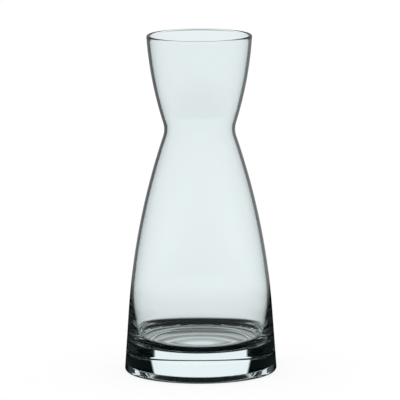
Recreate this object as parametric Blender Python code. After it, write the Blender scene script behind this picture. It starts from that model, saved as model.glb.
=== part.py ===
"""Stopperless glass wine decanter (carafe), turned about the world Z axis.

One piece of clear soda-lime glass: a bell-shaped mouth, a tight waist to grip, a long body that
widens to a heavy solid foot, and a shallow recess under the foot that leaves a flat bearing ring.
Units are metres, +Z is up, and the bearing ring stands on z = 0.
"""
import math

import bmesh
import bpy

# Driving dimensions of the outside.
HEIGHT = 0.1960                  # bearing ring to the top of the lip
MOUTH_RADIUS = 0.0305            # outside of the lip
WAIST_RADIUS = 0.0205            # outside of the waist, its narrowest ring
WAIST_HEIGHT = 0.1413
WAIST_FILLET = 0.0134            # radius of the crease round the waist
FOOT_RADIUS = 0.0440             # widest ring, just above the foot's edge
FOOT_EDGE = 0.0018               # rounding between the side and the bearing ring
BEARING_INNER = 0.0362           # inside edge of the flat ring that the decanter stands on
RECESS_RADIUS = 0.0315           # edge of the recess, where the bevel from the ring ends
RECESS_DEPTH = 0.0022            # rise of the underside at that edge
PUSH_UP = 0.0026                 # rise of the underside at the axis

# Slopes of the outside, in degrees away from vertical.
FOOT_SLOPE = 4.0                 # straight side of the foot, leaning inwards as it rises
SHOULDER_SLOPE = 18.7            # body where it meets the waist
BELL_SLOPE = 17.4                # bell where it leaves the waist
LIP_SLOPE = 3.7                  # bell just under the lip

# Driving dimensions of the inside.
WALL = 0.0017                    # wall of the bell, waist and upper body
HEEL_TOP = 0.0520                # height below which the wall thickens
HEEL_BASE = 0.0237               # height where the wall runs into the turn onto the floor
HEEL_WALL = 0.0045               # wall there
HEEL_GROWTH = 2.0                # exponent of the thickening
FILLET_WIDTH = 0.0125            # level half axis of the elliptical turn onto the floor
FILLET_RISE = 0.0093             # upright half axis of that turn

# Mesh resolution.
SEGMENTS = 56
BELL_STEPS = 7
WAIST_STEPS = 7
BODY_STEPS = 9
HEEL_STEPS = 6
TURN_STEPS = 9
EDGE_STEPS = 5
LIP_STEPS = 6
FLOOR_STEPS = 3
SHARP_ANGLE = 24.0               # degrees between faces above which an edge stays sharp

GLASS_COLOUR = (0.80, 0.87, 0.87, 1.0)
GLASS_ROUGHNESS = 0.02
GLASS_IOR = 1.5


def clear_scene():
    """Remove every object of the open file's scene."""
    for thing in list(bpy.data.objects):
        bpy.data.objects.remove(thing, do_unlink=True)


class Outside:
    """Outside of the glass as radius against height: foot side, body arc, waist crease, bell arc."""

    def __init__(self):
        foot, shoulder, bell, lip = (
            math.radians(a) for a in (FOOT_SLOPE, SHOULDER_SLOPE, BELL_SLOPE, LIP_SLOPE))
        self.foot_slope = foot
        self.edge_centre = FOOT_RADIUS - FOOT_EDGE
        self.edge_top = FOOT_EDGE * (1.0 + math.sin(foot))
        self.side_radius = self.edge_centre + FOOT_EDGE * math.cos(foot)

        self.crease_axis = WAIST_RADIUS + WAIST_FILLET
        self.crease_low = WAIST_HEIGHT - WAIST_FILLET * math.sin(shoulder)
        self.crease_high = WAIST_HEIGHT + WAIST_FILLET * math.sin(bell)
        low_radius = self.crease_axis - WAIST_FILLET * math.cos(shoulder)
        high_radius = self.crease_axis - WAIST_FILLET * math.cos(bell)

        # The body arc is tangent to the straight side below it and to the crease above it.
        # Its radius and the height where it starts follow from those two tangents.
        rise = self.crease_low - self.edge_top
        inset = self.side_radius - low_radius
        across = math.cos(foot) - math.cos(shoulder)
        along = math.sin(shoulder) - math.sin(foot)
        self.body_arc = (inset - rise * math.tan(foot)) / (across - along * math.tan(foot))
        self.body_axis = low_radius - self.body_arc * math.cos(shoulder)
        self.body_level = self.crease_low - self.body_arc * math.sin(shoulder)
        self.body_low = self.body_level + self.body_arc * math.sin(foot)

        # The bell arc is tangent to the crease and reaches the mouth radius at the lip.
        self.bell_arc = (MOUTH_RADIUS - high_radius) / (math.cos(lip) - math.cos(bell))
        self.bell_axis = high_radius - self.bell_arc * math.cos(bell)
        self.bell_level = self.crease_high + self.bell_arc * math.sin(bell)
        self.lip_base = HEIGHT - WALL / 2.0

    def radius(self, z):
        """Outer radius at height z, between the top of the foot's edge and the lip."""
        if z <= self.body_low:
            return self.side_radius - (z - self.edge_top) * math.tan(self.foot_slope)
        if z <= self.crease_low:
            return self.body_axis + math.sqrt(self.body_arc ** 2 - (z - self.body_level) ** 2)
        if z <= self.crease_high:
            return self.crease_axis - math.sqrt(WAIST_FILLET ** 2 - (z - WAIST_HEIGHT) ** 2)
        return self.bell_axis + math.sqrt(self.bell_arc ** 2 - (z - self.bell_level) ** 2)


def wall_thickness(z):
    """Wall measured level: even down to the heel, then thickening towards the floor."""
    depth = max(0.0, (HEEL_TOP - z) / (HEEL_TOP - HEEL_BASE))
    return WALL + (HEEL_WALL - WALL) * depth ** HEEL_GROWTH


def spread(low, high, steps):
    """Evenly spaced values from low to high, both included."""
    return [low + (high - low) * i / steps for i in range(steps + 1)]


def floor_profile(outside):
    """Flat inside floor from the axis outwards, and the turn that runs smoothly into the wall."""
    step = 0.0001
    inner = outside.radius(HEEL_BASE) - wall_thickness(HEEL_BASE)
    above = outside.radius(HEEL_BASE + step) - wall_thickness(HEEL_BASE + step)
    end = -math.atan((above - inner) / step * FILLET_RISE / FILLET_WIDTH)
    axis = inner - FILLET_WIDTH * math.cos(end)
    centre = HEEL_BASE - FILLET_RISE * math.sin(end)
    floor = [(axis * s, centre - FILLET_RISE) for s in spread(0.0, 1.0, FLOOR_STEPS)]
    turn = [(axis + FILLET_WIDTH * math.cos(a), centre + FILLET_RISE * math.sin(a))
            for a in spread(-math.pi / 2.0, end, TURN_STEPS)]
    return floor + turn[1:]


def side_heights(outside, low):
    """Heights of the rings up the side, closest together round the waist."""
    levels = spread(low, HEEL_TOP, HEEL_STEPS)
    levels += spread(HEEL_TOP, outside.crease_low, BODY_STEPS)[1:]
    levels += spread(outside.crease_low, outside.crease_high, WAIST_STEPS)[1:]
    levels += spread(outside.crease_high, outside.lip_base, BELL_STEPS)[1:]
    return levels


def lip_profile(outside):
    """Rounded top of the lip, from the inside over to the outside."""
    centre = outside.radius(outside.lip_base) - WALL / 2.0
    turn = spread(math.pi, 0.0, LIP_STEPS)[1:-1]
    return [(centre + WALL / 2.0 * math.cos(a), outside.lip_base + WALL / 2.0 * math.sin(a))
            for a in turn]


def foot_profile(outside):
    """Foot's rounded edge, bearing ring, bevel and the recess's low dome, ending on the axis."""
    turn = [outside.foot_slope] + spread(0.0, -math.pi / 2.0, EDGE_STEPS)
    edge = [(outside.edge_centre + FOOT_EDGE * math.cos(a), FOOT_EDGE + FOOT_EDGE * math.sin(a))
            for a in turn]
    ring = [(BEARING_INNER, 0.0)]
    dome = [(RECESS_RADIUS * s, RECESS_DEPTH + (PUSH_UP - RECESS_DEPTH) * (1.0 - s * s))
            for s in spread(1.0, 0.0, FLOOR_STEPS)]
    return edge + ring + dome


def glass_profile():
    """Closed section of the glass: floor, inner wall, lip, outer side and foot, axis to axis."""
    outside = Outside()
    inner = side_heights(outside, HEEL_BASE)[1:]
    outer = side_heights(outside, outside.body_low)
    profile = floor_profile(outside)
    profile += [(outside.radius(z) - wall_thickness(z), z) for z in inner]
    profile += lip_profile(outside)
    profile += [(outside.radius(z), z) for z in reversed(outer)]
    profile += foot_profile(outside)
    return profile


def glass_material():
    """Clear, faintly green soda-lime glass."""
    material = bpy.data.materials.new("clear_glass")
    material.use_nodes = True
    shader = material.node_tree.nodes["Principled BSDF"]
    shader.inputs["Base Color"].default_value = GLASS_COLOUR
    shader.inputs["Roughness"].default_value = GLASS_ROUGHNESS
    shader.inputs["Metallic"].default_value = 0.0
    shader.inputs["IOR"].default_value = GLASS_IOR
    shader.inputs["Transmission Weight"].default_value = 1.0
    return material


def lathe(name, profile, material):
    """Turn a section in the XZ plane once round the Z axis and close it on the axis."""
    bm = bmesh.new()
    verts = [bm.verts.new((r, 0.0, z)) for r, z in profile]
    edges = [bm.edges.new(pair) for pair in zip(verts, verts[1:])]
    bmesh.ops.spin(bm, geom=verts + edges, cent=(0.0, 0.0, 0.0), axis=(0.0, 0.0, 1.0),
                   dvec=(0.0, 0.0, 0.0), angle=2.0 * math.pi, steps=SEGMENTS, use_merge=True)
    bmesh.ops.remove_doubles(bm, verts=bm.verts[:], dist=1e-6)
    bmesh.ops.recalc_face_normals(bm, faces=bm.faces[:])
    mesh = bpy.data.meshes.new(name)
    bm.to_mesh(mesh)
    bm.free()
    mesh.shade_smooth()
    mesh.set_sharp_from_angle(angle=math.radians(SHARP_ANGLE))
    mesh.materials.append(material)
    body = bpy.data.objects.new(name, mesh)
    bpy.context.scene.collection.objects.link(body)
    return body


def main():
    clear_scene()
    lathe("decanter_body", glass_profile(), glass_material())


main()
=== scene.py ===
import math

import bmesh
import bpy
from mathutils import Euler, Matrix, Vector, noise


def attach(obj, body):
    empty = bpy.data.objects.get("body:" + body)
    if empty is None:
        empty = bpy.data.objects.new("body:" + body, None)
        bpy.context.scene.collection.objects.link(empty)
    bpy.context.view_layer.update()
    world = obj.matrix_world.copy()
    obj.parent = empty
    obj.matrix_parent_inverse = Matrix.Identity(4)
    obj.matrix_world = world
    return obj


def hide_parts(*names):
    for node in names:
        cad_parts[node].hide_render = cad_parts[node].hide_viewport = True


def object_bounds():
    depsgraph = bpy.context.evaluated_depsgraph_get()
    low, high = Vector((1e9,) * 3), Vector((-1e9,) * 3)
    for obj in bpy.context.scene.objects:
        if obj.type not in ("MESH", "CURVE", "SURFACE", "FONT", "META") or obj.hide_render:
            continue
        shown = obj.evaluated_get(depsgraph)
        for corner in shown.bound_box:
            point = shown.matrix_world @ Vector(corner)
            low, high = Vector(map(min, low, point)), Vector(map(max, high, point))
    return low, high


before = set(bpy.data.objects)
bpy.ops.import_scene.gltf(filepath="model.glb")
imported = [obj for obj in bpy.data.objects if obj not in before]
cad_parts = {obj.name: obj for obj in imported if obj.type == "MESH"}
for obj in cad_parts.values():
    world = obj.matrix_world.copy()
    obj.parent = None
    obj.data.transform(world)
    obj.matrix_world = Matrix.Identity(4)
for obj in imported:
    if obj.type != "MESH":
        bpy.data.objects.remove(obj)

# Looks of the clear glass carafe: a finely turned glass body around the imported frame, on a pale
# floor in a pale surround.
#
# The camera sees the floor and the surround plain.  Light that has been through the glass finds
# them
# staged: the floor shows painted light and shade, soft rings of light under the foot and a painted
# dark halo close to it; the surround is a low lit wall under a dark ceiling; and two dark cards
# close round the glass paint shade.  They draw the dark edges and the black sides of the foot as
# painted shade.
#
# Sizes are in metres and angles in degrees.  The height and the foot come from the frame, and the
# rest of the outline is the same design as the imported model's.

cad_low, cad_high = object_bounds()
HEIGHT = cad_high.z - cad_low.z
FOOT_RADIUS = (cad_high.x - cad_low.x) / 2.0

# Outside: a foot that leans in, a long swelling body, a creased waist and a flaring bell.
MOUTH_RADIUS = 0.0305
WAIST_RADIUS = 0.0205
WAIST_HEIGHT = 0.1413
WAIST_FILLET = 0.0134
FOOT_SLOPE = 4.0
SHOULDER_SLOPE = 18.7
BELL_SLOPE = 17.4
LIP_SLOPE = 3.7

# Underside: a flat bearing ring, a bevel up to a shallow recess and its low dome.
FOOT_EDGE = 0.0018
BEARING_INNER = 0.0362
RECESS_RADIUS = 0.0315
RECESS_DEPTH = 0.0022
PUSH_UP = 0.0026
CORNER_EASE = 0.15               # share of the bevel that is rounded at each end

# Inside: an even wall that thickens into the heel, then a wide round turn onto the floor.
WALL = 0.0017
HEEL_WALL = 0.0045
HEEL_TOP = 0.0520
HEEL_GROWTH = 2.0
HEEL_BASE = 0.0237
FILLET_WIDTH = 0.0125
FILLET_RISE = 0.0093

# Unevenness that the mould and the fire leave in the glass.
INNER_WAVE = 0.000030
FOOT_WAVE = 0.000015
WAVE_LENGTH = 0.016

# Mesh resolution.
SEGMENTS = 288
BELL_STEPS = 36
WAIST_STEPS = 16
BODY_STEPS = 36
HEEL_STEPS = 40
FILLET_STEPS = 24
LIP_STEPS = 10
FLOOR_STEPS = 30

# Glass.
GLASS_IOR = 1.5
GLASS_TINTS = ((0.970, 0.992, 0.986), (0.980, 0.996, 0.994))
BODY_TINT = (0.70, 0.90, 0.92, 1.0)
BODY_DENSITY = 2.0               # absorption per metre
POLISH_ROUGHNESS = 0.006         # where the polish is at its poorest

# Light as the camera sees it.
TENT = (1.15, 1.15, 1.15)
PAPER = (0.92, 0.92, 0.92, 1.0)
PAPER_GLOW = 0.8                 # share of the floor's own light over its diffuse white

# Light as the glass sees it: the surround's light, and the levels of the painted light and shade on
# the floor and the cards.
BACKLIGHT = (0.925, 0.980, 1.000)
DARK = (0.0008, 0.0030, 0.0030)
FRONT_FILL = 0.35                # what the outer face reflects
REFLECTED_LEVEL = 0.70           # what the inside of the hollow reflects
STRAY_LEVEL = 0.45               # wall, for light that has bounced about in the hollow
GLINT_LEVELS = (0.02, 0.06)      # wall, for light that has bounced in the solid; exactly twice
CEILING_LEVEL = 0.10             # above the floor's edge, for light straight through the solid
CEILING_FADE = (0.30, 0.70)      # rise at which the lit wall starts and ends fading
RECESS_FADE = (0.18, 0.42)       # the same for light from the recess
HORIZON = 0.02

# Floor, by distance from the axis: painted light and shade, which only light that has met the glass
# sees.  A painted shadow close to the foot, painted shade beyond it and far away, and painted
# reflections.
FLOOR_RADIUS = 6.0
FLOOR_GAP = 0.0001
# Painted shadow: the floor is dark close round the foot.
HALO = (0.053, 0.063)            # dark inside, lit outside
WASH = (0.075, 0.250)            # slight shade beyond the halo
WASH_LEVEL = 0.84
FAR_OFF = (0.45, 1.15)           # slight shade far away
FAR_LEVEL = 0.95
BOUNCED = (0.07, 0.12)           # what the hollow reflects fades in over this distance
IN_FRONT = (0.28, 0.46)          # what the outer face reflects fades in over this one

# Painted light and shade on the floor under the foot, as a share of the foot's radius and a level:
# a bright centre, two dark rings with a bright one between them, then shade.
RINGS = ((0.0, 1.0), (0.16, 1.0), (0.29, 0.60), (0.39, 0.35), (0.48, 0.80), (0.58, 0.25),
         (0.62, 0.25), (0.72, 0.60), (0.77, 0.50), (0.86, 0.30), (1.0, 0.25))

# Dark card round the foot, which paints shade: the black sides of the foot.
FOOT_CARD_GAP = 0.0015
FOOT_CARD_HEIGHT = 0.0180
SLANT_SHADE = (0.212, 0.239)         # slant, as 1 - cosine, over which the painted shade darkens from clear to fully black
LOW_SHADE = (0.0135, 0.0172)          # height over which the painted shade low over the foot clears for light from the hollow

# Dark card round the body, which paints shade: the dark edges of the wall and a dark line along the
# lip.
EDGE_CARD_GAP = 0.0010
EDGE_TONES = (0.04, 0.10)        # painted shade on the left and on the right
EDGE_TURN = 0.02                 # half the width over which one becomes the other
LIP_BAND = (0.0016, 0.0010)      # below the top: where the card starts to paint shade on the lip
LIP_LEVEL = 0.95
CARD_SEGMENTS = 256
CARD_STEPS = 64
CARD_SPACE = 0.0005              # between the two cards

# Camera.
ELEVATION = 9.19
ROLL = -0.28
DISTANCE = 2.8
AIM_HEIGHT = 0.0998
SENSOR_WIDTH = 36.0
FOCAL_LENGTH = 435.8
CLIP_END = 50.0

# A Mix node's sockets, as (factor, first, second) and the result.
MIX_SOCKETS = {"FLOAT": ((0, 2, 3), 0), "RGBA": ((0, 6, 7), 2)}


class Outside:
    """Outside of the glass as radius against height, from the foot edge up to the lip."""

    def __init__(self):
        foot, shoulder, bell, lip = (
            math.radians(a) for a in (FOOT_SLOPE, SHOULDER_SLOPE, BELL_SLOPE, LIP_SLOPE))
        self.foot_slope = foot
        self.edge_centre = FOOT_RADIUS - FOOT_EDGE
        self.edge_top = FOOT_EDGE * (1.0 + math.sin(foot))
        self.side_radius = self.edge_centre + FOOT_EDGE * math.cos(foot)

        self.crease_axis = WAIST_RADIUS + WAIST_FILLET
        self.crease_low = WAIST_HEIGHT - WAIST_FILLET * math.sin(shoulder)
        self.crease_high = WAIST_HEIGHT + WAIST_FILLET * math.sin(bell)
        low_radius = self.crease_axis - WAIST_FILLET * math.cos(shoulder)
        high_radius = self.crease_axis - WAIST_FILLET * math.cos(bell)

        # The body arc is tangent to the straight side below it and to the crease above it.
        rise = self.crease_low - self.edge_top
        inset = self.side_radius - low_radius
        across = math.cos(foot) - math.cos(shoulder)
        along = math.sin(shoulder) - math.sin(foot)
        self.body_arc = (inset - rise * math.tan(foot)) / (across - along * math.tan(foot))
        self.body_axis = low_radius - self.body_arc * math.cos(shoulder)
        self.body_level = self.crease_low - self.body_arc * math.sin(shoulder)
        self.body_low = self.body_level + self.body_arc * math.sin(foot)

        # The bell arc is tangent to the crease and reaches the mouth radius at the lip.
        self.bell_arc = (MOUTH_RADIUS - high_radius) / (math.cos(lip) - math.cos(bell))
        self.bell_axis = high_radius - self.bell_arc * math.cos(bell)
        self.bell_level = self.crease_high + self.bell_arc * math.sin(bell)
        self.lip_base = HEIGHT - WALL / 2.0

    def radius(self, z):
        """Outer radius at height z, between the top of the foot's edge and the lip."""
        if z <= self.body_low:
            return self.side_radius - (z - self.edge_top) * math.tan(self.foot_slope)
        if z <= self.crease_low:
            return self.body_axis + math.sqrt(self.body_arc ** 2 - (z - self.body_level) ** 2)
        if z <= self.crease_high:
            return self.crease_axis - math.sqrt(WAIST_FILLET ** 2 - (z - WAIST_HEIGHT) ** 2)
        return self.bell_axis + math.sqrt(self.bell_arc ** 2 - (z - self.bell_level) ** 2)


def wall_thickness(z):
    """Wall measured level: even down to the heel, then thicker and thicker."""
    depth = max(0.0, (HEEL_TOP - z) / (HEEL_TOP - HEEL_BASE))
    return WALL + (HEEL_WALL - WALL) * depth ** HEEL_GROWTH


def spread(low, high, steps):
    """Evenly spaced values from low to high, both included."""
    return [low + (high - low) * i / steps for i in range(steps + 1)]


def ramp(s):
    """Straight slope from 0 to 1 with both ends eased."""
    slope = 1.0 / (1.0 - CORNER_EASE)
    if s < CORNER_EASE:
        return slope * s * s / (2.0 * CORNER_EASE)
    if s > 1.0 - CORNER_EASE:
        return 1.0 - slope * (1.0 - s) ** 2 / (2.0 * CORNER_EASE)
    return slope * (s - CORNER_EASE / 2.0)


def floor_profile(outside):
    """Inside floor and its turn, which ends in line with the heel's inner face."""
    step = 0.0001
    inner = outside.radius(HEEL_BASE) - wall_thickness(HEEL_BASE)
    above = outside.radius(HEEL_BASE + step) - wall_thickness(HEEL_BASE + step)
    end = -math.atan((above - inner) / step * FILLET_RISE / FILLET_WIDTH)
    axis = inner - FILLET_WIDTH * math.cos(end)
    centre = HEEL_BASE - FILLET_RISE * math.sin(end)
    floor = [(axis * s, centre - FILLET_RISE) for s in spread(0.0, 1.0, FLOOR_STEPS)]
    turn = [(axis + FILLET_WIDTH * math.cos(a), centre + FILLET_RISE * math.sin(a))
            for a in spread(-math.pi / 2.0, end, FILLET_STEPS)]
    return floor + turn[1:]


def side_heights(outside, low):
    """Heights of the rings from low up to the lip."""
    levels = spread(low, HEEL_TOP, HEEL_STEPS)
    levels += spread(HEEL_TOP, outside.crease_low, BODY_STEPS)[1:]
    levels += spread(outside.crease_low, outside.crease_high, WAIST_STEPS)[1:]
    levels += spread(outside.crease_high, outside.lip_base, BELL_STEPS)[1:]
    return levels


def lip_profile(outside):
    """Fire-polished lip: a half round over the wall."""
    centre = outside.radius(outside.lip_base) - WALL / 2.0
    return [(centre + WALL / 2.0 * math.cos(a), outside.lip_base + WALL / 2.0 * math.sin(a))
            for a in spread(math.pi, 0.0, LIP_STEPS)[1:-1]]


def foot_profile(outside):
    """Rounded foot edge, bearing ring, bevel and the recess's low dome."""
    turn = [outside.foot_slope] + spread(0.0, -math.pi / 2.0, FILLET_STEPS)
    edge = [(outside.edge_centre + FOOT_EDGE * math.cos(a), FOOT_EDGE + FOOT_EDGE * math.sin(a))
            for a in turn]
    bevel = [(BEARING_INNER + (RECESS_RADIUS - BEARING_INNER) * s, RECESS_DEPTH * ramp(s))
             for s in spread(0.0, 1.0, FILLET_STEPS)]
    dome = [(RECESS_RADIUS * s, RECESS_DEPTH + (PUSH_UP - RECESS_DEPTH) * (1.0 - s * s))
            for s in spread(1.0, 0.0, FLOOR_STEPS)]
    return edge + bevel + dome[1:]


def glass_profile(outside):
    """Half section of the glass, from the floor's centre round to the underside's."""
    inner = side_heights(outside, HEEL_BASE)[1:]
    outer = side_heights(outside, outside.body_low)
    profile = floor_profile(outside)
    profile += [(outside.radius(z) - wall_thickness(z), z) for z in inner]
    profile += lip_profile(outside)
    profile += [(outside.radius(z), z) for z in reversed(outer)]
    profile += foot_profile(outside)
    return profile


def turned(profile, segments):
    """Surface that a half section sweeps round the Z axis."""
    bm = bmesh.new()
    verts = [bm.verts.new((r, 0.0, z)) for r, z in profile]
    edges = [bm.edges.new(pair) for pair in zip(verts, verts[1:])]
    bmesh.ops.spin(bm, geom=verts + edges, cent=(0.0, 0.0, 0.0), axis=(0.0, 0.0, 1.0),
                   dvec=(0.0, 0.0, 0.0), angle=2.0 * math.pi, steps=segments, use_merge=True)
    bmesh.ops.remove_doubles(bm, verts=bm.verts[:], dist=1e-7)
    bmesh.ops.recalc_face_normals(bm, faces=bm.faces[:])
    return bm


def link_mesh(name, bm, material):
    """New smooth-shaded object from a bmesh."""
    mesh = bpy.data.meshes.new(name)
    bm.to_mesh(mesh)
    bm.free()
    mesh.shade_smooth()
    mesh.materials.append(material)
    body = bpy.data.objects.new(name, mesh)
    bpy.context.scene.collection.objects.link(body)
    return body


def uneven(bm, outside):
    """Slight waves in the inner face, which fade out at the lip, and in the dome under the foot."""
    for vert in bm.verts:
        r = math.hypot(vert.co.x, vert.co.y)
        z = vert.co.z
        wave = noise.noise(vert.co / WAVE_LENGTH)
        if z > FILLET_RISE and r < outside.radius(min(z, outside.lip_base)) - WALL / 2.0:
            out = Vector((vert.co.x, vert.co.y, 0.0)).normalized()
            if z < HEEL_BASE:
                out.z = 1.0
            fade = min(1.0, (HEIGHT - z) / WAVE_LENGTH)
            vert.co += out * (wave * INNER_WAVE * fade)
        elif z < HEEL_BASE and r < RECESS_RADIUS:
            vert.co.z += wave * FOOT_WAVE


def add_node(nt, kind, **values):
    """New node with the given values on its named sockets."""
    node = nt.nodes.new(kind)
    for name, value in values.items():
        node.inputs[name.replace("_", " ")].default_value = value
    return node


def feed(nt, socket, value):
    """Link a socket into an input, or set a number or a colour on it."""
    if hasattr(value, "links"):
        nt.links.new(value, socket)
    elif isinstance(value, tuple):
        socket.default_value = (*value, 1.0)
    else:
        socket.default_value = value


def maths(nt, operation, *values):
    """Result of a Math node on sockets and numbers."""
    node = nt.nodes.new("ShaderNodeMath")
    node.operation = operation
    for socket, value in zip(node.inputs, values):
        feed(nt, socket, value)
    return node.outputs[0]


def product(nt, *values):
    """Product of sockets and numbers, so also the AND of tests."""
    total = values[0]
    for value in values[1:]:
        total = maths(nt, "MULTIPLY", total, value)
    return total


def blend(nt, factor, first, second, kind="FLOAT"):
    """Number or colour between first and second."""
    node = nt.nodes.new("ShaderNodeMix")
    node.data_type = kind
    places, result = MIX_SOCKETS[kind]
    for place, value in zip(places, (factor, first, second)):
        feed(nt, node.inputs[place], value)
    return node.outputs[result]


def graded(nt, value, span, low, high, interpolation="SMOOTHSTEP"):
    """Number that goes from low to high while value crosses the span."""
    node = add_node(nt, "ShaderNodeMapRange",
                    From_Min=span[0], From_Max=span[1], To_Min=low, To_Max=high)
    node.interpolation_type = interpolation
    nt.links.new(value, node.inputs["Value"])
    return node.outputs[0]


def separated(nt, vector, axis):
    """One coordinate of a vector."""
    axes = nt.nodes.new("ShaderNodeSeparateXYZ")
    nt.links.new(vector, axes.inputs[0])
    return axes.outputs[axis]


def own_place(nt):
    """A point's place in its object's own coordinates."""
    return nt.nodes.new("ShaderNodeTexCoord").outputs["Object"]


def mixed_shader(nt, factor, first, second):
    """Shader between first and second."""
    mix = nt.nodes.new("ShaderNodeMixShader")
    feed(nt, mix.inputs[0], factor)
    nt.links.new(first.outputs[0], mix.inputs[1])
    nt.links.new(second.outputs[0], mix.inputs[2])
    return mix


def emission(nt, colour):
    """Shader that shines in a colour."""
    glow = nt.nodes.new("ShaderNodeEmission")
    feed(nt, glow.inputs["Color"], colour)
    return glow


def new_tree(block):
    """Empty node tree of a material or a world."""
    block.use_nodes = True
    block.node_tree.nodes.clear()
    return block.node_tree


class Light:
    """Tests on light: how many glass faces it has crossed, and how often it has bounced."""

    def __init__(self, nt):
        self.nt = nt
        path = nt.nodes.new("ShaderNodeLightPath").outputs
        self.crossed = path["Transmission Depth"]
        self.bounced = path["Glossy Depth"]
        self.scattered = path["Diffuse Depth"]
        self.seen = path["Is Camera Ray"]

    def more(self, count, than):
        return maths(self.nt, "GREATER_THAN", count, than + 0.5)

    def fewer(self, count, than):
        return maths(self.nt, "LESS_THAN", count, than - 0.5)

    def exactly(self, count, number):
        return maths(self.nt, "COMPARE", count, float(number), 0.5)

    def outer(self):
        """Has crossed nothing: seen directly or in the outer face."""
        return self.fewer(self.crossed, 1)

    def solid(self):
        """Has crossed one piece of glass at most: the foot, the wall lengthwise or one lip."""
        return self.fewer(self.crossed, 4)

    def hollow(self):
        """Has been through the hollow, and so through two thicknesses of glass or more."""
        return self.more(self.crossed, 3)

    def recess(self):
        """Has been through the hollow and the recess."""
        return self.more(self.crossed, 5)


def glass_material():
    """Clear soda glass: a faint green body and a trace of uneven tint and polish."""
    mat = bpy.data.materials.new("clear_glass")
    mat.use_nodes = True
    nt = mat.node_tree
    shader = nt.nodes["Principled BSDF"]
    shader.inputs["IOR"].default_value = GLASS_IOR
    shader.inputs["Transmission Weight"].default_value = 1.0
    place = own_place(nt)

    cords = add_node(nt, "ShaderNodeTexNoise", Scale=60.0, Detail=2.0)
    nt.links.new(place, cords.inputs["Vector"])
    tint = blend(nt, cords.outputs["Fac"], *GLASS_TINTS, "RGBA")
    nt.links.new(tint, shader.inputs["Base Color"])

    polish = add_node(nt, "ShaderNodeTexNoise", Scale=220.0, Detail=3.0)
    nt.links.new(place, polish.inputs["Vector"])
    rough = graded(nt, polish.outputs["Fac"], (0.45, 0.75), 0.0, POLISH_ROUGHNESS)
    nt.links.new(rough, shader.inputs["Roughness"])

    body = add_node(nt, "ShaderNodeVolumeAbsorption", Color=BODY_TINT, Density=BODY_DENSITY)
    nt.links.new(body.outputs[0], nt.nodes["Material Output"].inputs["Volume"])
    return mat


def under_foot_light(nt, radius):
    """Level of the painted light and shade on the floor under the foot."""
    steps = nt.nodes.new("ShaderNodeValToRGB")
    steps.color_ramp.interpolation = "EASE"
    nt.links.new(maths(nt, "DIVIDE", radius, FOOT_RADIUS), steps.inputs[0])
    points = steps.color_ramp.elements
    while len(points) < len(RINGS):
        points.new(1.0)
    for point, (at, level) in zip(points, RINGS):
        point.position = at
        point.color = (level, level, level, 1.0)
    return steps.outputs[0]


def table_level(nt, light):
    """Level of the floor's painted light and shade, for light that has met the glass."""
    span = nt.nodes.new("ShaderNodeVectorMath")
    span.operation = "LENGTH"
    nt.links.new(own_place(nt), span.inputs[0])
    radius = span.outputs["Value"]
    under = maths(nt, "LESS_THAN", radius, FOOT_RADIUS)
    clear_of_foot = maths(nt, "SUBTRACT", 1.0, under)

    # Painted shadow round the foot, painted shade beyond it and far away, and painted rings of
    # light under it.
    halo = graded(nt, radius, HALO, 0.0, 1.0)
    wash = graded(nt, radius, WASH, WASH_LEVEL, 1.0, "LINEAR")
    past_hollow = blend(nt, under, product(nt, halo, wash), under_foot_light(nt, radius))
    far_off = graded(nt, radius, FAR_OFF, 1.0, FAR_LEVEL, "LINEAR")
    direct = product(nt, blend(nt, light.hollow(), clear_of_foot, past_hollow), far_off)

    # Painted glints and painted reflections: the floor is lit for light that has bounced exactly
    # twice in the solid, and at set levels for what the outer face and the hollow reflect.
    glint = product(nt, clear_of_foot, light.exactly(light.bounced, 2))
    in_front = graded(nt, radius, IN_FRONT, 0.0, FRONT_FILL)
    past_solid = blend(nt, light.outer(), glint, in_front)
    past_hollow = graded(nt, radius, BOUNCED, 0.0, REFLECTED_LEVEL)
    mirrored = blend(nt, light.hollow(), past_solid, past_hollow)
    return blend(nt, light.more(light.bounced, 0), direct, mirrored)


def floor_material():
    """Pale floor, which the glass shows as a light table with painted rings of light and shade
    under the foot and a painted dark halo close to the foot.
    """
    mat = bpy.data.materials.new("pale_floor")
    nt = new_tree(mat)
    light = Light(nt)
    table = emission(nt, blend(nt, table_level(nt, light), DARK, BACKLIGHT, "RGBA"))
    paper = add_node(nt, "ShaderNodeBsdfDiffuse", Color=PAPER)
    glow = emission(nt, (1.0, 1.0, 1.0))
    shown = mixed_shader(nt, light.seen, table, mixed_shader(nt, PAPER_GLOW, paper, glow))
    output = nt.nodes.new("ShaderNodeOutputMaterial")
    nt.links.new(shown.outputs[0], output.inputs["Surface"])
    return mat


def wall_level(nt, light, rise):
    """Level of the surround's light, for light that has met the glass and leaves at a rise."""
    once = light.more(light.bounced, 0)
    twice = light.more(light.bounced, 1)
    straight = light.fewer(light.bounced, 1)
    upward = maths(nt, "GREATER_THAN", rise, HORIZON)

    low = graded(nt, rise, RECESS_FADE, REFLECTED_LEVEL, 0.0)
    stray = blend(nt, product(nt, light.recess(), twice), low, STRAY_LEVEL)
    glint = blend(nt, light.exactly(light.bounced, 2), *GLINT_LEVELS)
    return product(
        nt,
        graded(nt, rise, CEILING_FADE, 1.0, 0.0, "LINEAR"),
        blend(nt, product(nt, light.hollow(), once), 1.0, stray),
        blend(nt, product(nt, light.solid(), twice), 1.0, glint),
        blend(nt, product(nt, light.solid(), straight, upward), 1.0, CEILING_LEVEL))


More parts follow.
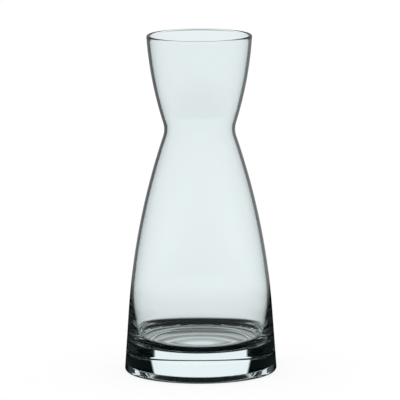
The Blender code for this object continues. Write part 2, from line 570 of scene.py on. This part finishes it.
def studio_world():
    """White tent, which the glass shows as a low lit wall under a dark ceiling."""
    world = bpy.data.worlds.new("studio")
    world.cycles.sampling_method = "NONE"
    bpy.context.scene.world = world
    nt = new_tree(world)
    light = Light(nt)
    direction = nt.nodes.new("ShaderNodeTexCoord").outputs["Generated"]
    level = wall_level(nt, light, separated(nt, direction, "Z"))

    colour = blend(nt, level, DARK, BACKLIGHT, "RGBA")
    colour = blend(nt, light.outer(), colour, (FRONT_FILL, FRONT_FILL, FRONT_FILL), "RGBA")
    plain = maths(nt, "MINIMUM", maths(nt, "MAXIMUM", light.seen, light.scattered), 1.0)
    colour = blend(nt, plain, colour, TENT, "RGBA")
    background = nt.nodes.new("ShaderNodeBackground")
    nt.links.new(colour, background.inputs["Color"])
    output = nt.nodes.new("ShaderNodeOutputWorld")
    nt.links.new(background.outputs[0], output.inputs["Surface"])


def floor():
    """Pale floor just under the bearing ring."""
    bm = bmesh.new()
    bmesh.ops.create_circle(bm, cap_ends=True, segments=96, radius=FLOOR_RADIUS)
    disc = link_mesh("floor", bm, floor_material())
    disc.location.z = cad_low.z - FLOOR_GAP


def card_material(name, looks):
    """Card that light passes where it isn't opaque and that paints shade where it is; looks gives
    its opacity and its colour.
    """
    mat = bpy.data.materials.new(name)
    nt = new_tree(mat)
    opacity, colour = looks(nt, Light(nt))
    clear = nt.nodes.new("ShaderNodeBsdfTransparent")
    shown = mixed_shader(nt, opacity, clear, emission(nt, colour))
    output = nt.nodes.new("ShaderNodeOutputMaterial")
    nt.links.new(shown.outputs[0], output.inputs["Surface"])
    return mat


def foot_card_looks(nt, light):
    """Painted shade on the card round the foot: a slant shade and a low shade.

    The slant shade is clear to light that leaves the foot squarely and black to slanting light: it
    paints the black sides of the foot.  The low shade is black to light that has come through the
    hollow and leaves low over the foot.
    """
    slant = add_node(nt, "ShaderNodeLayerWeight", Blend=0.5).outputs["Facing"]
    # Painted shade: black for slanting light from the solid foot, and black low over the foot for
    # light from the hollow.
    slant_shade = product(nt, graded(nt, slant, SLANT_SHADE, 0.0, 1.0),
                      light.solid(), light.fewer(light.bounced, 2))
    low_shade = product(nt, graded(nt, separated(nt, own_place(nt), "Z"), LOW_SHADE, 1.0, 0.0),
                   light.hollow(), light.fewer(light.bounced, 1))
    return maths(nt, "MAXIMUM", slant_shade, low_shade), DARK


def edge_card_looks(nt, light):
    """Painted shade: dark to light that has run along inside the wall or has crossed the far lip
    only.
    """
    top = tuple(HEIGHT - depth for depth in LIP_BAND)
    # Painted dark line along the lip, darkest at the top.
    lip = graded(nt, separated(nt, own_place(nt), "Z"), top, 0.0, LIP_LEVEL)
    along_wall = light.more(light.bounced, 0)
    opacity = product(nt, light.solid(), maths(nt, "MAXIMUM", along_wall, lip))
    # Painted shade, darker on the left of the glass than on the right.
    tone = graded(nt, separated(nt, own_place(nt), "X"), (-EDGE_TURN, EDGE_TURN), *EDGE_TONES)
    return opacity, blend(nt, tone, DARK, BACKLIGHT, "RGBA")


def flag(name, profile, material):
    """Dark card wrapped round the glass, which paints shade only on light that has come through it.
    """
    ring = link_mesh(name, turned(profile, CARD_SEGMENTS), material)
    ring.visible_camera = False
    ring.visible_diffuse = False
    ring.visible_glossy = False
    ring.visible_shadow = False


def flags(outside):
    """The dark card round the foot, and above it the dark card that follows the body: painted shade
    for light through the glass.
    """
    foot = [(FOOT_RADIUS + FOOT_CARD_GAP, z) for z in (0.0, FOOT_CARD_HEIGHT)]
    flag("foot_flag", foot, card_material("foot_card", foot_card_looks))
    levels = spread(FOOT_CARD_HEIGHT + CARD_SPACE, HEIGHT, CARD_STEPS)
    body = [(outside.radius(min(z, outside.lip_base)) + EDGE_CARD_GAP, z) for z in levels]
    flag("edge_flag", body, card_material("edge_card", edge_card_looks))


def camera():
    """Long lens, a little above the glass and rolled slightly."""
    data = bpy.data.cameras.new("camera")
    cam = bpy.data.objects.new("camera", data)
    bpy.context.scene.collection.objects.link(cam)
    elevation = math.radians(ELEVATION)
    back = Vector((0.0, -math.cos(elevation), math.sin(elevation)))
    cam.location = Vector((0.0, 0.0, AIM_HEIGHT)) + back * DISTANCE
    cam.rotation_mode = "QUATERNION"
    level = (-back).to_track_quat("-Z", "Y")
    cam.rotation_quaternion = level @ Euler((0.0, 0.0, math.radians(ROLL))).to_quaternion()
    data.sensor_width = SENSOR_WIDTH
    data.lens = FOCAL_LENGTH
    data.clip_end = CLIP_END
    bpy.context.scene.camera = cam


def light_paths():
    """Enough bounces for light to work its way through thick glass."""
    scene = bpy.context.scene
    scene.view_settings.view_transform = "Standard"
    scene.cycles.max_bounces = 32
    scene.cycles.transmission_bounces = 24
    scene.cycles.glossy_bounces = 16
    scene.cycles.diffuse_bounces = 2


def decanter(outside):
    """The glass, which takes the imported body's place."""
    bm = turned(glass_profile(outside), SEGMENTS)
    uneven(bm, outside)
    glass = link_mesh("decanter_glass", bm, glass_material())
    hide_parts("decanter_body")
    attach(glass, "root")


outline = Outside()
light_paths()
decanter(outline)
floor()
flags(outline)
studio_world()
camera()
